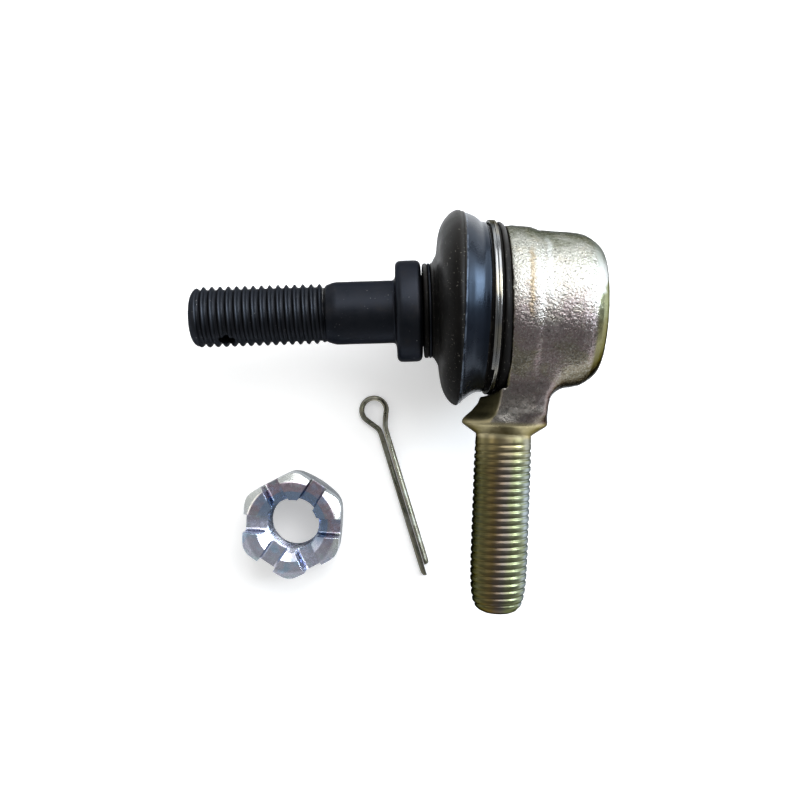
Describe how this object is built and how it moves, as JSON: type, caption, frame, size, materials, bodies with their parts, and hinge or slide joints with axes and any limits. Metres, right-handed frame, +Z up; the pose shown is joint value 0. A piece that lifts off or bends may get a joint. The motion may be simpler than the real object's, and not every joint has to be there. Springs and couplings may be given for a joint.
{
  "type": "tie rod end",
  "caption": "L-shaped steering tie rod end: ball stud in a forged housing with a threaded rod, rubber boot, and its loose castle nut and cotter pin.",
  "frame": {"origin": "centre of the cover plate's outer face, on the housing axis; the ball centre is 17.6 mm from it, at X = -0.0176", "axes": "+X along the housing axis, out of the cover plate and away from the stud; -Y along the threaded rod, towards its end; +Z up from the table that the part lies on"},
  "size_m": [0.0815, 0.0801, 0.039],
  "materials": {
    "yellow_zinc": "forged steel, yellow chromate zinc",
    "black_phosphate": "black phosphate, oiled",
    "seat_plastic": "natural acetal",
    "spring_steel": "bare spring steel",
    "boot_rubber": "moulded, slightly dusty",
    "bright_steel": "bright drawn wire",
    "blue_zinc": "blue-white zinc",
    "dull_zinc": "dull zinc, olive tint"
  },
  "bodies": {
    "housing_body": {"housing": "yellow_zinc", "cover_plate": "yellow_zinc", "pressure_pad": "seat_plastic", "preload_spring": "spring_steel", "boot_clamp_ring": "bright_steel"},
    "seat_body": {"ball_seat": "seat_plastic", "boot": "boot_rubber"},
    "neck_ring_body": {"boot_neck_ring": "bright_steel"},
    "stud_body": {"ball_stud": "black_phosphate"},
    "nut_body": {"castle_nut": "blue_zinc"},
    "pin_body": {"cotter_pin": "dull_zinc"}
  },
  "joints": [
    {"name": "swing_direction", "type": "hinge", "parent": "housing_body", "child": "seat_body", "pos_m": [-0.0176, 0, 0], "axis": [1, 0, 0], "continuous": true},
    {"name": "stud_tilt", "type": "hinge", "parent": "seat_body", "child": "neck_ring_body", "pos_m": [-0.0176, 0, 0], "axis": [0, 0, 1], "range_deg": [-25.8, 18.2], "deforming": ["boot"]},
    {"name": "stud_spin", "type": "hinge", "parent": "neck_ring_body", "child": "stud_body", "pos_m": [-0.0176, 0, 0], "axis": [-0.9978, -0.0663, 0], "continuous": true},
    {"name": "nut_lift", "type": "slide", "parent": "housing_body", "child": "nut_body", "axis": [0, 0, 1], "range_m": [0, 0.03]},
    {"name": "pin_lift", "type": "slide", "parent": "housing_body", "child": "pin_body", "axis": [0, 0, 1], "range_m": [0, 0.02]}
  ]
}
